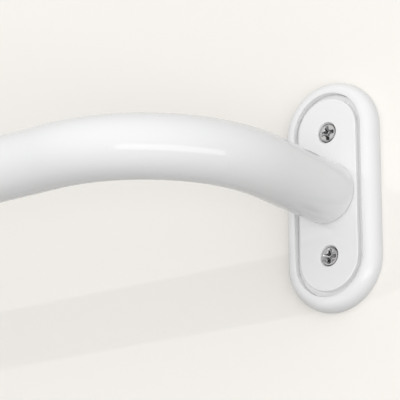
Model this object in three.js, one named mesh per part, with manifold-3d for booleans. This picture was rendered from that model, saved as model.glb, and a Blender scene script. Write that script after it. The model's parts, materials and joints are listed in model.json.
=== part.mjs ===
// A wrap-around curtain rod with its two wall brackets.
//
// The rod is two bent steel tubes, one sliding in the other. Each tube turns through a quarter
// circle and comes back square to the wall, where its open end slides over a post on a bracket.
// A screw in the top of the post jams against the inside of the tube and locks it.
//
// Millimetres. +X runs along the wall to the right, +Y goes into the wall and +Z is up.
// The origin is the middle of the right bracket's back face, on the wall.

import * as THREE from "three";
import { mergeVertices } from "three/addons/utils/BufferGeometryUtils.js";
import Module from "manifold-3d";

const wasm = await Module();
wasm.setup();

// ---------------------------------------------------------------- driving dimensions

const CLEARANCE = 0.3; // between pieces that touch, seat or slide on each other
const ROUND_SIDES = 32; // facets round a tube, post or collar
const SMALL_SIDES = 20; // facets round a screw or a small hole

const ROD = {
  closedWidth: 711.2, // over both legs, with the tubes pushed together
  diameter: 25.4, // the outer tube
  wall: 1.0, // both tubes
  slideGap: 0.6, // between the two tubes, all round
  bendStart: 50, // from the wall to where the bend starts
  bendRadius: 58, // at the middle of the tube
  bendSteps: 20,
  bendMargin: 3, // kept free between a sliding end and the other tube's bend
};

const PLATE = {
  width: 43,
  height: 96.5,
  rimHeight: 6.7, // from the wall to the top of the rim
  rimWidth: 5.5,
  edgeWidth: 4.4, // the rounded outer edge, seen from the front
  edgeHeight: 5.5, // the same, seen from the side
  grooveWidth: 2.3, // between the rim and the bracket plate's raised face
  grooveFloor: 4.5, // from the wall to the bracket plate's ledge, which is the groove's floor
  floor: 2.4, // thickness behind the bracket plate
  faceHeight: 6.5, // from the wall to the bracket plate's raised face
  faceEdge: 0.4, // the small bevel round the ledge and the face
};

const WALL_SCREW = {
  spacing: 52,
  length: 38,
  diameter: 4.2,
  headDiameter: 7.9,
  rimHeight: 0.4, // the upright band round the head
  sunk: 0.5, // how far the head lies below the plate's front
  mouthDiameter: 8.7, // of the hole in the bracket plate
  pointLength: 6,
  recess: { span: 4.4, slot: 1.1, depth: 2.0 },
};

const ANCHOR = {
  length: 32,
  diameter: 7.4,
  tipDiameter: 6.2,
  flangeDiameter: 9.6,
  flangeHeight: 1,
  fin: { width: 1, reach: 0.9, start: 4, end: 22 },
  split: { width: 1, length: 18 },
};

const POST = {
  length: 34, // out of the bracket plate
  chamfer: 1.5,
};

const POST_SCREW = {
  length: 14,
  diameter: 5,
  headDiameter: 9,
  inset: 0.3, // of the head, in the back of the bracket plate
  recess: { span: 4.4, slot: 1.1, depth: 1.6 },
};

const LOCK = {
  height: 24, // from the wall to the locking screw
  diameter: 5,
  length: 7,
  travel: 1.6, // how far it turns back into the post to free the tube
  keyAcrossFlats: 2.5,
  keyDepth: 3,
  accessDiameter: 3.4, // the key's hole in the top of the tube
};

const COLLAR = {
  wall: 1.2,
  grip: 8, // over the end of the outer tube
  lip: 2.4, // thickness of its end
  edge: 0.6,
};

const GUIDE = {
  headLength: 5,
  plugLength: 14, // inside the end of the inner tube
  wall: 2,
  slit: 1.6, // between the spring fingers
  slitLength: 12,
};

// ---------------------------------------------------------------- sizes that follow

const outerRadius = ROD.diameter / 2;
const outerBore = outerRadius - ROD.wall;
const innerRadius = outerBore - ROD.slideGap;
const innerBore = innerRadius - ROD.wall;
const bracketSpacing = ROD.closedWidth - outerRadius - innerRadius;
const runDepth = ROD.bendStart + ROD.bendRadius; // from the wall to the middle of the rod
const legStart = PLATE.faceHeight + CLEARANCE;
const rightBendEnd = -ROD.bendRadius;
const leftBendEnd = ROD.bendRadius - bracketSpacing;
const ledgeInset = PLATE.rimWidth + CLEARANCE;
const panelInset = PLATE.rimWidth + PLATE.grooveWidth;
const plateBack = PLATE.floor + CLEARANCE;

// ---------------------------------------------------------------- materials

const finish = (color, roughness, metalness) =>
  new THREE.MeshStandardMaterial({ color, roughness, metalness });

const whiteEnamel = finish(0xf1f1f2, 0.28, 0);
const plateEnamel = finish(0xf0f0f0, 0.36, 0);
const screwPlating = finish(0xc4c4c8, 0.18, 1);
const postSteel = finish(0xa8aaad, 0.38, 1);
const blackOxide = finish(0x2c2c2e, 0.45, 1);
const whitePlastic = finish(0xececea, 0.4, 0);
const greyNylon = finish(0xb9bcbd, 0.6, 0);

// ---------------------------------------------------------------- solids

// A closed mesh as a solid that can be cut and joined.
function solid(geometry) {
  const bare = geometry.index ? geometry : geometry.clone();
  bare.deleteAttribute("normal");
  bare.deleteAttribute("uv");
  const merged = mergeVertices(bare, 1e-4);
  return new wasm.Manifold(
    new wasm.Mesh({
      numProp: 3,
      vertProperties: merged.attributes.position.array,
      triVerts: new Uint32Array(merged.index.array),
    }),
  );
}

function geometryOf(made) {
  const mesh = made.getMesh();
  const geometry = new THREE.BufferGeometry();
  geometry.setAttribute("position", new THREE.BufferAttribute(mesh.vertProperties, 3));
  geometry.setIndex(new THREE.BufferAttribute(mesh.triVerts, 1));
  geometry.computeVertexNormals();
  return geometry;
}

function cut(body, ...tools) {
  return tools.reduce((left, tool) => left.subtract(tool), body);
}

// A solid turned about the Z axis. The profile is [radius, height] pairs, from the lowest up.
function turned(profile, sides) {
  const outline = profile.map(([radius, height]) => new THREE.Vector2(radius, height));
  return solid(new THREE.LatheGeometry(outline, sides).rotateX(Math.PI / 2));
}

function cylinder(radius, low, high, sides) {
  return turned([[0, low], [radius, low], [radius, high], [0, high]], sides);
}

// A tube turned about the Z axis, with square ends.
function sleeve(radius, bore, low, high, sides) {
  const past = 1;
  return cut(cylinder(radius, low, high, sides), cylinder(bore, low - past, high + past, sides));
}

function box(width, depth, low, high) {
  const made = new THREE.BoxGeometry(width, depth, high - low);
  return solid(made.translate(0, 0, (low + high) / 2));
}

// A plate outline with half-round ends, drawn in from the bracket's outer edge by inset.
function stadium(inset) {
  const radius = PLATE.width / 2 - inset;
  const straight = (PLATE.height - PLATE.width) / 2;
  const shape = new THREE.Shape();
  shape.moveTo(radius, -straight);
  shape.lineTo(radius, straight);
  shape.absarc(0, straight, radius, 0, Math.PI, false);
  shape.lineTo(-radius, -straight);
  shape.absarc(0, -straight, radius, Math.PI, 2 * Math.PI, false);
  return shape;
}

// A stadium-shaped slab from low to high, with its front edge rounded by a quarter ellipse.
function roundedSlab(inset, low, high, edgeWidth, edgeHeight, edgeSteps) {
  const behind = edgeHeight + 1;
  const made = new THREE.ExtrudeGeometry(stadium(inset + edgeWidth), {
    depth: high - edgeHeight - low + behind,
    steps: 1,
    curveSegments: 20,
    bevelEnabled: true,
    bevelSize: edgeWidth,
    bevelThickness: edgeHeight,
    bevelSegments: edgeSteps,
  });
  const slab = solid(made.translate(0, 0, low - behind));
  return slab.intersect(box(2 * PLATE.height, 2 * PLATE.height, low, high + 1));
}

function stadiumPocket(inset, low, high) {
  const made = new THREE.ExtrudeGeometry(stadium(inset), {
    depth: high - low,
    curveSegments: 20,
    bevelEnabled: false,
  });
  return solid(made.translate(0, 0, low));
}

// A four-armed driver recess going down from top.
function driverRecess({ span, slot, depth }, top) {
  const above = 1;
  return box(span, slot, top - depth, top + above).add(box(slot, span, top - depth, top + above));
}

// ---------------------------------------------------------------- bracket pieces
// These are drawn with +Z out of the wall, +Y up and the wall at Z = 0.

const screwPlaces = [
  ["upper", WALL_SCREW.spacing / 2],
  ["lower", -WALL_SCREW.spacing / 2],
];

function atScrews(tool) {
  return screwPlaces.map(([, y]) => tool.translate(0, y, 0));
}

function backplate() {
  const past = 1;
  const body = roundedSlab(0, 0, PLATE.rimHeight, PLATE.edgeWidth, PLATE.edgeHeight, 7);
  const pocket = stadiumPocket(PLATE.rimWidth, PLATE.floor, PLATE.rimHeight + past);
  const holeRadius = ANCHOR.flangeDiameter / 2 + CLEARANCE;
  const hole = cylinder(holeRadius, -past, PLATE.floor + past, SMALL_SIDES);
  return cut(body, pocket, ...atScrews(hole));
}

// The wall screw's outline from its point to its head. grow makes the hole that clears it.
function screwHead(grow) {
  const top = PLATE.faceHeight - WALL_SCREW.sunk;
  const neckRadius = WALL_SCREW.diameter / 2;
  const headRadius = WALL_SCREW.headDiameter / 2;
  const coneTop = top - WALL_SCREW.rimHeight;
  const coneFoot = coneTop - (headRadius - neckRadius);
  const coneGrow = grow * Math.SQRT2;
  return { top, coneTop, neckRadius: neckRadius + grow, headRadius, coneFoot, coneGrow };
}

function bracketPlate() {
  const past = 1;
  const low = plateBack;
  const high = PLATE.faceHeight;
  const { coneTop, neckRadius, headRadius, coneFoot, coneGrow } = screwHead(CLEARANCE);
  const mouth = WALL_SCREW.mouthDiameter / 2;
  const screwHole = turned(
    [
      [0, low - past],
      [neckRadius, low - past],
      [neckRadius, coneFoot - coneGrow + CLEARANCE],
      [headRadius + CLEARANCE, coneTop - coneGrow + CLEARANCE],
      [mouth, coneTop],
      [mouth, high + past],
      [0, high + past],
    ],
    SMALL_SIDES,
  );
  const postHead = POST_SCREW.headDiameter / 2 + CLEARANCE;
  const postShank = POST_SCREW.diameter / 2 + CLEARANCE;
  const seat = low + POST_SCREW.inset + CLEARANCE;
  const postHole = turned(
    [
      [0, low - past],
      [postHead, low - past],
      [postHead, seat],
      [postShank, seat + postHead - postShank],
      [postShank, high + past],
      [0, high + past],
    ],
    SMALL_SIDES,
  );
  const { faceEdge, grooveFloor } = PLATE;
  const ledge = roundedSlab(ledgeInset, low, grooveFloor, faceEdge, faceEdge, 2);
  const face = roundedSlab(panelInset, low, high, faceEdge, faceEdge, 2);
  return cut(ledge.add(face), postHole, ...atScrews(screwHole));
}

function wallScrew() {
  const { top, coneTop, neckRadius, headRadius, coneFoot } = screwHead(0);
  const tip = top - WALL_SCREW.length;
  const body = turned(
    [
      [0, tip],
      [neckRadius, tip + WALL_SCREW.pointLength],
      [neckRadius, coneFoot],
      [headRadius, coneTop],
      [headRadius, top],
      [0, top],
    ],
    SMALL_SIDES,
  );
  return cut(body, driverRecess(WALL_SCREW.recess, top));
}

// The anchor's flange lies on the wall, in a hole in the backplate that clears it.
function wallAnchor() {
  const past = 1;
  const top = ANCHOR.flangeHeight;
  const tip = top - ANCHOR.length;
  const radius = ANCHOR.diameter / 2;
  const flange = ANCHOR.flangeDiameter / 2;
  const { fin, split } = ANCHOR;
  const body = turned(
    [
      [0, tip],
      [ANCHOR.tipDiameter / 2, tip],
      [radius, tip + split.length],
      [radius, top - ANCHOR.flangeHeight],
      [flange, top - ANCHOR.flangeHeight],
      [flange, top],
      [0, top],
    ],
    SMALL_SIDES,
  );
  const fins = box(2 * (radius + fin.reach), fin.width, top - fin.end, top - fin.start);
  const boreRadius = WALL_SCREW.diameter / 2 + CLEARANCE;
  const bore = cylinder(boreRadius, tip - past, top + past, SMALL_SIDES);
  const slot = box(split.width, ANCHOR.flangeDiameter, tip - past, tip + split.length);
  return cut(body.add(fins), bore, slot);
}

// When it is tight, the locking screw's flat end is as high as the round post lets it be.
function lockScrewEnd(postRadius) {
  return Math.sqrt(postRadius ** 2 - (LOCK.diameter / 2) ** 2);
}

function rodPost(radius) {
  const low = legStart;
  const high = low + POST.length;
  const past = 1;
  const body = turned(
    [
      [0, low],
      [radius, low],
      [radius, high - POST.chamfer],
      [radius - POST.chamfer, high],
      [0, high],
    ],
    ROUND_SIDES,
  );
  const screwEnd = plateBack + POST_SCREW.inset + POST_SCREW.length + CLEARANCE;
  const screwBore = cylinder(POST_SCREW.diameter / 2 + CLEARANCE, low - past, screwEnd, SMALL_SIDES);
  const lockDepth = lockScrewEnd(radius) - LOCK.length - LOCK.travel - CLEARANCE;
  const lockBore = cylinder(LOCK.diameter / 2 + CLEARANCE, lockDepth, radius + past, SMALL_SIDES);
  return cut(body, screwBore, upright(lockBore));
}

// Turns a solid drawn along Z to stand along the bracket's Y, at the height of the locking screw.
function upright(made) {
  return made.rotate(-90, 0, 0).translate(0, 0, LOCK.height);
}

function postScrew() {
  const low = plateBack + POST_SCREW.inset;
  const head = POST_SCREW.headDiameter / 2;
  const shank = POST_SCREW.diameter / 2;
  const body = turned(
    [
      [0, low],
      [head, low],
      [shank, low + head - shank],
      [shank, low + POST_SCREW.length],
      [0, low + POST_SCREW.length],
    ],
    SMALL_SIDES,
  );
  const recess = driverRecess(POST_SCREW.recess, 0).rotate(180, 0, 0).translate(0, 0, low);
  return cut(body, recess);
}

function lockScrew(postRadius) {
  const past = 1;
  const end = lockScrewEnd(postRadius);
  const body = cylinder(LOCK.diameter / 2, end - LOCK.length, end, SMALL_SIDES);
  const keyRadius = LOCK.keyAcrossFlats / Math.sqrt(3);
  const key = cylinder(keyRadius, end - LOCK.keyDepth, end + past, 6);
  return upright(cut(body, key));
}

function node(name, made, material) {
  const mesh = new THREE.Mesh(geometryOf(made), material);
  mesh.name = name;
  return mesh;
}

// One bracket with everything that fixes it, for a tube with this bore.
function bracket(side, tubeBore, x) {
  const postRadius = tubeBore - CLEARANCE;
  const group = new THREE.Group();
  group.position.x = x;
  group.rotation.x = Math.PI / 2;
  group.add(
    node(`${side}_backplate`, backplate(), plateEnamel),
    node(`${side}_bracket_plate`, bracketPlate(), plateEnamel),
    node(`${side}_rod_post`, rodPost(postRadius), postSteel),
    node(`${side}_post_screw`, postScrew(), screwPlating),
    node(`${side}_set_screw`, lockScrew(postRadius), blackOxide),
  );
  for (const [place, y] of screwPlaces) {
    const screw = node(`${side}_wall_screw_${place}`, wallScrew(), screwPlating);
    const anchor = node(`${side}_wall_anchor_${place}`, wallAnchor(), greyNylon);
    screw.position.y = y;
    anchor.position.y = y;
    group.add(screw, anchor);
  }
  return group;
}

// ---------------------------------------------------------------- rod pieces
// These are drawn in the part's own frame.

// The middle line of a bent tube: a leg square to the wall, a quarter bend and a run along it.
// side is 1 for a tube that turns to the left out of the right bracket, and -1 for the other.
class RodLine extends THREE.Curve {
  constructor(bracketX, side, runEnd) {
    super();
    this.bracketX = bracketX;
    this.side = side;
    this.runEnd = runEnd;
    this.steps = ROD.bendSteps + 2;
  }

  // One step covers each straight stretch, and the rest divide the bend evenly.
  bendAngle(u) {
    const along = THREE.MathUtils.clamp((u * this.steps - 1) / ROD.bendSteps, 0, 1);
    return (along * Math.PI) / 2;
  }

  getPointAt(u, target = new THREE.Vector3()) {
    const step = Math.round(u * this.steps);
    if (step === 0) return target.set(this.bracketX, -legStart, 0);
    if (step === this.steps) return target.set(this.runEnd, -runDepth, 0);
    const angle = this.bendAngle(u);
    const across = ROD.bendRadius * (1 - Math.cos(angle));
    const out = ROD.bendStart + ROD.bendRadius * Math.sin(angle);
    return target.set(this.bracketX - this.side * across, -out, 0);
  }

  getTangentAt(u, target = new THREE.Vector3()) {
    const angle = this.bendAngle(u);
    return target.set(-this.side * Math.sin(angle), -Math.cos(angle), 0);
  }
}

function circlePoints(radius) {
  return Array.from({ length: ROUND_SIDES }, (_, i) => {
    const angle = (2 * Math.PI * i) / ROUND_SIDES;
    return new THREE.Vector2(radius * Math.cos(angle), radius * Math.sin(angle));
  });
}

function bentTube(line, radius, bore) {
  const section = new THREE.Shape(circlePoints(radius));
  section.holes.push(new THREE.Path(circlePoints(bore).reverse()));
  const tube = solid(
    new THREE.ExtrudeGeometry(section, { steps: line.steps, extrudePath: line, bevelEnabled: false }),
  );
  const key = cylinder(LOCK.accessDiameter / 2, 0, radius + 1, SMALL_SIDES);
  return cut(tube, key.translate(line.bracketX, -LOCK.height, 0));
}

// Moves a solid drawn along Z so that it lies along the rod's run and its Z = 0 is at x.
function onRun(made, x) {
  return made.rotate(0, -90, 0).translate(x, -runDepth, 0);
}

// The outer tube's open end stops short of the inner tube's bend, with its collar between.
const mouthX = leftBendEnd + ROD.bendMargin + COLLAR.lip + CLEARANCE;
// The inner tube's open end stops short of the outer tube's bend, with its guide between.
const innerEndX = rightBendEnd - ROD.bendMargin - GUIDE.headLength - CLEARANCE;

function mouthCollar() {
  const past = 1;
  const radius = outerRadius + CLEARANCE + COLLAR.wall;
  const tip = CLEARANCE + COLLAR.lip;
  const body = turned(
    [
      [0, -COLLAR.grip],
      [radius - COLLAR.edge, -COLLAR.grip],
      [radius, COLLAR.edge - COLLAR.grip],
      [radius, tip - COLLAR.edge],
      [radius - COLLAR.edge, tip],
      [0, tip],
    ],
    ROUND_SIDES,
  );
  const socket = cylinder(outerRadius + CLEARANCE, -COLLAR.grip - past, CLEARANCE, ROUND_SIDES);
  const bore = cylinder(innerRadius + CLEARANCE, -past, tip + past, ROUND_SIDES);
  return onRun(cut(body, socket, bore), mouthX);
}

// A split plastic plug that keeps the inner tube's end centred in the outer tube.
function rodGuide() {
  const past = 1;
  const plugRadius = innerBore - CLEARANCE;
  const headRadius = outerBore - CLEARANCE;
  const headTop = -CLEARANCE - GUIDE.headLength;
  const plug = sleeve(plugRadius, plugRadius - GUIDE.wall, headTop, GUIDE.plugLength, ROUND_SIDES);
  const head = sleeve(headRadius, plugRadius - GUIDE.wall, headTop, -CLEARANCE, ROUND_SIDES);
  const slitEnd = headTop + GUIDE.slitLength;
  const slit = box(2 * outerRadius, GUIDE.slit, headTop - past, slitEnd);
  return onRun(cut(plug.add(head), slit, slit.rotate(0, 0, 90)), innerEndX);
}

// ---------------------------------------------------------------- assembly

const outerLine = new RodLine(0, 1, mouthX);
const innerLine = new RodLine(-bracketSpacing, -1, innerEndX);

const curtainRod = new THREE.Group();
curtainRod.add(
  bracket("right", outerBore, 0),
  bracket("left", innerBore, -bracketSpacing),
  node("outer_rod", bentTube(outerLine, outerRadius, outerBore), whiteEnamel),
  node("inner_rod", bentTube(innerLine, innerRadius, innerBore), whiteEnamel),
  node("mouth_collar", mouthCollar(), whitePlastic),
  node("inner_rod_guide", rodGuide(), greyNylon),
);

export default curtainRod;
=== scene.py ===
# %% [markdown]
# # A wrap-around curtain rod on its two wall brackets
#
# A wrap-around rod is two steel tubes, one sliding in the other. Each one turns through a quarter
# circle and comes back square to the wall, so that the curtain closes the gap at the side. The
# open end of each tube slides over a post on a small wall bracket.
#
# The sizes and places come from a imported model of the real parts. The first lines load it, and it
# stays fixed: every piece made below takes its size from the box of the part it stands for.

# %% Load the fixed frame
import json
import math

import bmesh
import bpy
from mathutils import Matrix, Vector


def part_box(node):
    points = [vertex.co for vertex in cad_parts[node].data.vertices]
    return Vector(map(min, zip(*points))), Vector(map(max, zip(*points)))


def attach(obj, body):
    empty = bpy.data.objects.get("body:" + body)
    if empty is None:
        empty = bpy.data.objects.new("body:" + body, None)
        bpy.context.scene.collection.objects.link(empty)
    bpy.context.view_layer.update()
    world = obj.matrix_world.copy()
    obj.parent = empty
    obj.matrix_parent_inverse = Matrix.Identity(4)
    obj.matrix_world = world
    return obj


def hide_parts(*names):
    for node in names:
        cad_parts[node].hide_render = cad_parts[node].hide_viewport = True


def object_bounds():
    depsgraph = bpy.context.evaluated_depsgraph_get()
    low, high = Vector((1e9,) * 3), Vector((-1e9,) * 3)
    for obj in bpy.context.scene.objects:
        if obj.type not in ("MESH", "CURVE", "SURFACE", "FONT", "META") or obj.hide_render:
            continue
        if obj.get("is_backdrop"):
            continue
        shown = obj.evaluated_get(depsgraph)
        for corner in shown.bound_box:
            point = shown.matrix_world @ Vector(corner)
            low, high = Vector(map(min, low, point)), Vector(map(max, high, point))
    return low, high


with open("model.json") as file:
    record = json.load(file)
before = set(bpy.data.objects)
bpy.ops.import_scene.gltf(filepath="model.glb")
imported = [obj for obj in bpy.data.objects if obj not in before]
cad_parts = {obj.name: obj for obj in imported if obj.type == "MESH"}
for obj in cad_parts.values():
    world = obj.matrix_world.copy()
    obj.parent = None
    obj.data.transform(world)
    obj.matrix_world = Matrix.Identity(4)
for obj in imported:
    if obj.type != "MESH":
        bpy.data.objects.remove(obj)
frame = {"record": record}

frame_low, frame_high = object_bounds()
MM = 0.001
SIDES, PLACES = ("right", "left"), ("upper", "lower")


def into_scene(name, data):
    made = bpy.data.objects.new(name, data)
    bpy.context.scene.collection.objects.link(made)
    return made


print("whole rod, mm:", [round(side / MM, 1) for side in frame_high - frame_low])

# %% [markdown]
# ## The camera
#
# A long lens keeps the plate's sides nearly parallel. The camera stands low and to the right and
# looks up and to the left, so the plate shows its right and bottom flanks and the rod leaves it
# towards the left. A camera in Blender looks down its own -Z, so a quarter turn about X makes it
# look level along +Y, and the pitch is added to that.

# %% Place the camera
CAMERA_PLACE = Vector((452.2, -706.0, -266.9)) * MM
CAMERA_LEFT_TURN = math.radians(36.41)
CAMERA_PITCH = math.radians(17.63)
CAMERA_LENS = 195.4

camera_lens = bpy.data.cameras.new("camera")
camera_lens.sensor_width = 36
camera_lens.lens = CAMERA_LENS
camera = into_scene("camera", camera_lens)
camera.location = CAMERA_PLACE
camera.rotation_euler = (math.pi / 2 + CAMERA_PITCH, 0, CAMERA_LEFT_TURN)
bpy.context.scene.camera = camera
print("camera to bracket, mm:", round(CAMERA_PLACE.length / MM))

# %% [markdown]
# ## Sizes taken from the frame
#
# A box in the frame gives a part's lowest and highest corners. The tubes' radii, the distance from
# the wall to the rod and the places of the screws all come from such boxes. Only what no box shows
# is written as a number: the bend's radius, the tubes' walls, and the widths of small edges.

# %% Read the tubes' sizes
outer_low, outer_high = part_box("outer_rod")
inner_low, inner_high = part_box("inner_rod")
OUTER_RADIUS = (outer_high.z - outer_low.z) / 2
INNER_RADIUS = (inner_high.z - inner_low.z) / 2
TUBE_WALL = 1.0 * MM
BEND_RADIUS = 58 * MM
RUN_DEPTH = -outer_low.y - OUTER_RADIUS
LEG_START = -outer_high.y
RIGHT_X = outer_high.x - OUTER_RADIUS
LEFT_X = inner_low.x + INNER_RADIUS
print("tube radii, mm:", round(OUTER_RADIUS / MM, 2), round(INNER_RADIUS / MM, 2))
print("bracket to bracket, mm:", round((RIGHT_X - LEFT_X) / MM, 1))

# %% Read the bracket's sizes
plate_low, plate_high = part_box("right_backplate")
face_low, face_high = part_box("right_bracket_plate")
PLATE_WIDTH = plate_high.x - plate_low.x
PLATE_HEIGHT = plate_high.z - plate_low.z
RIM_TOP = -plate_low.y
FACE_TOP = -face_low.y
FACE_BACK = -face_high.y
LEDGE_INSET = (PLATE_WIDTH - (face_high.x - face_low.x)) / 2
GAP = LEG_START - FACE_TOP
RIM_WIDTH = LEDGE_INSET - GAP
print("plate, mm:", round(PLATE_WIDTH / MM, 1), "x", round(PLATE_HEIGHT / MM, 1))
print("its face stands", round(FACE_TOP / MM, 2), "mm off the wall")

# %% [markdown]
# ## Two ways to move from a drawing to the wall
#
# A bracket is easiest to draw lying flat, with Z out of the wall. A quarter turn about X then
# stands it up: Z becomes -Y, which points into the room, and Y becomes up. Pieces on the rod's run
# are drawn on the Z axis too, and a quarter turn about Y lays them along the rod.

# %% Ways to place a drawing
STAND_UP = Matrix.Rotation(math.pi / 2, 4, "X")
LIE_ALONG = Matrix.Rotation(-math.pi / 2, 4, "Y")


def on_wall(x, z=0.0):
    return Matrix.Translation((x, 0, z)) @ STAND_UP


def at_box_of(node):
    middle = sum(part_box(node), Vector()) / 2
    return on_wall(middle.x, middle.z)


def on_run(x):
    return Matrix.Translation((x, -RUN_DEPTH, 0)) @ LIE_ALONG


print("drawn +Z on the wall points along", tuple(round(v) for v in STAND_UP @ Vector((0, 0, 1))))

# %% [markdown]
# ## Profiles with soft corners
#
# Nothing made has a perfectly sharp corner, and it is the small rounded edge that catches the
# light. Each turned or swept piece starts as a list of corners, each with its own radius. One
# helper rounds the corners: it steps back along both sides and puts a few points on the arc.

# %% Round the corners of a profile
def rounded(corners, steps=4):
    """Corners are (across, along, radius). The first and last stay as they are."""
    points = [Vector(corners[0][:2])]
    for before, corner, after in zip(corners, corners[1:], corners[2:]):
        here, radius = Vector(corner[:2]), corner[2]
        back = Vector(before[:2]) - here
        on = Vector(after[:2]) - here
        turn = math.pi - back.angle(on, math.pi)
        if radius <= 0 or turn < 1e-3:
            points.append(here)
            continue
        reach = min(radius * math.tan(turn / 2), 0.49 * back.length, 0.49 * on.length)
        start, end = here + back.normalized() * reach, here + on.normalized() * reach
        for step in range(steps + 1):
            t = step / steps
            points.append(start * (1 - t) ** 2 + here * 2 * t * (1 - t) + end * t**2)
    points.append(Vector(corners[-1][:2]))
    return points


print("a rounded square corner has", len(rounded([(0, 0, 0), (1, 0, 0.2), (1, 1, 0)])), "points")

# %% [markdown]
# ## Meshes from rings
#
# A plate, a post, a screw and a bent tube have one thing in common: each is a row of closed rings.
# Joining each ring to the next with four-sided faces makes the skin. The ends are filled with one
# flat face each, or the last ring joins the first, as it does round the wall of a tube.

# %% Join rings into a mesh
def skin(name, rings, loop=False):
    mesh = bpy.data.meshes.new(name)
    build = bmesh.new()
    rows = [[build.verts.new(point) for point in ring] for ring in rings]
    pairs = list(zip(rows, rows[1:])) + ([(rows[-1], rows[0])] if loop else [])
    for lower, upper in pairs:
        for i in range(len(lower)):
            j = (i + 1) % len(lower)
            build.faces.new((lower[i], lower[j], upper[j], upper[i]))
    if not loop:
        build.faces.new(reversed(rows[0]))
        build.faces.new(rows[-1])
    bmesh.ops.recalc_face_normals(build, faces=build.faces)
    build.to_mesh(mesh)
    build.free()
    return into_scene(name, mesh)


def spot(radius, angle, height):
    return Vector((radius * math.cos(angle), radius * math.sin(angle), height))


def circle(radius, height, sides):
    return [spot(radius, 2 * math.pi * i / sides, height) for i in range(sides)]


def turned(name, profile, sides=64, loop=False):
    """A piece turned on a lathe: the profile is (radius, height) points, from one end up."""
    return skin(name, [circle(radius, height, sides) for radius, height in profile], loop)


def bar(name, outline, half):
    """A straight-sided piece: an outline of (x, z) points, drawn through from y = -half to half."""
    return skin(name, [[Vector((x, y, z)) for x, z in outline] for y in (-half, half)])


print("a circle of 8 sides is", len(circle(1, 0, 8)), "points")

# %% [markdown]
# ## Cutting, and shading flat faces flat
#
# Screw holes and driver recesses are cut with Boolean modifiers, which are then made real, so that
# the finished piece is one plain mesh. A wide flat face next to a narrow rounded edge picks up
# false shading, because each corner's normal is an average. A Weighted Normal modifier lets the
# bigger faces decide, and the widest flats then get their own normal at every corner, so that they
# stay flat and the edges roll into them.

# %% Helpers for modifiers
def make_real(piece):
    """Turns a piece's modifiers into plain mesh."""
    evaluated = piece.evaluated_get(bpy.context.evaluated_depsgraph_get())
    made = bpy.data.meshes.new_from_object(evaluated)
    before = piece.data
    piece.modifiers.clear()
    piece.data = made
    bpy.data.meshes.remove(before)
    made.name = piece.name


def carve(piece, cutters, operation="DIFFERENCE"):
    for cutter in cutters:
        boolean = piece.modifiers.new("carve", "BOOLEAN")
        boolean.operation = operation
        boolean.solver = "EXACT"
        boolean.object = cutter
    make_real(piece)
    for cutter in cutters:
        bpy.data.meshes.remove(cutter.data)


WIDE_FACE = 20 * MM**2


def shade(piece, sharp=40):
    piece.data.shade_smooth()
    piece.data.set_sharp_from_angle(angle=math.radians(sharp))
    weighted = piece.modifiers.new("flat faces rule", "WEIGHTED_NORMAL")
    weighted.mode = "FACE_AREA"
    weighted.keep_sharp = True
    make_real(piece)
    mesh = piece.data
    normals = [corner.vector.copy() for corner in mesh.corner_normals]
    for face in mesh.polygons:
        if face.area > WIDE_FACE:
            for corner in face.loop_indices:
                normals[corner] = face.normal.copy()
    mesh.normals_split_custom_set(normals)


print("faces over", round(WIDE_FACE / MM**2), "square mm keep their own normal")

# %% [markdown]
# ## Finishes: the wiring
#
# A finish here is a set of nodes round one Principled BSDF. Effects that several finishes use are
# node groups. A group puts out a mask or a height and nothing else, so each material decides what
# to do with it. Two short helpers keep the wiring readable: one makes a node and plugs in its
# inputs, the other makes an empty group with named sockets.

# %% Helpers for nodes
def wire(tree, kind, feeds, **settings):
    made = tree.nodes.new(kind)
    for name, value in settings.items():
        setattr(made, name, value)
    for socket, value in feeds.items():
        if isinstance(value, bpy.types.NodeSocket):
            tree.links.new(value, made.inputs[socket])
        else:
            made.inputs[socket].default_value = value
    return made


def maths(tree, operation, *values, clamp=False):
    feeds = dict(enumerate(values))
    return wire(tree, "ShaderNodeMath", feeds, operation=operation, use_clamp=clamp).outputs[0]


def times(tree, one, other):
    return maths(tree, "MULTIPLY", one, other)


def ramp(tree, value, low, high, to_low=0.0, to_high=1.0):
    feeds = {0: value, 1: low, 2: high, 3: to_low, 4: to_high}
    return wire(tree, "ShaderNodeMapRange", feeds, interpolation_type="SMOOTHSTEP").outputs[0]


def noise(tree, place, scale, detail=2.0, **settings):
    feeds = {"Vector": place, "Scale": scale, "Detail": detail}
    return wire(tree, "ShaderNodeTexNoise", feeds, **settings).outputs[0]


def empty_group(name, inputs, outputs):
    """inputs gives each socket's first value, or None for a place that is always plugged in."""
    group = bpy.data.node_groups.new(name, "ShaderNodeTree")
    for label, value in inputs.items():
        kind = "NodeSocketFloat" if isinstance(value, float) else "NodeSocketVector"
        socket = group.interface.new_socket(name=label, in_out="INPUT", socket_type=kind)
        if value is not None:
            socket.default_value = value
    for label in outputs:
        group.interface.new_socket(name=label, in_out="OUTPUT", socket_type="NodeSocketFloat")
    return group, group.nodes.new("NodeGroupInput").outputs, group.nodes.new("NodeGroupOutput")


def use(tree, group, **feeds):
    feeds = {name.capitalize(): value for name, value in feeds.items()}
    return wire(tree, "ShaderNodeGroup", feeds, node_tree=group).outputs


print("helpers made: wire, maths, times, ramp, noise, empty_group and use")

# %% [markdown]
# ## Shared effect: edge wear
#
# Paint thins out and rubs off on corners first. The Bevel node gives the normal that a corner
# would have if it were rounder. Where that differs from the true normal there is an edge, and a
# noise breaks the line up so that it isn't the same everywhere.

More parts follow.
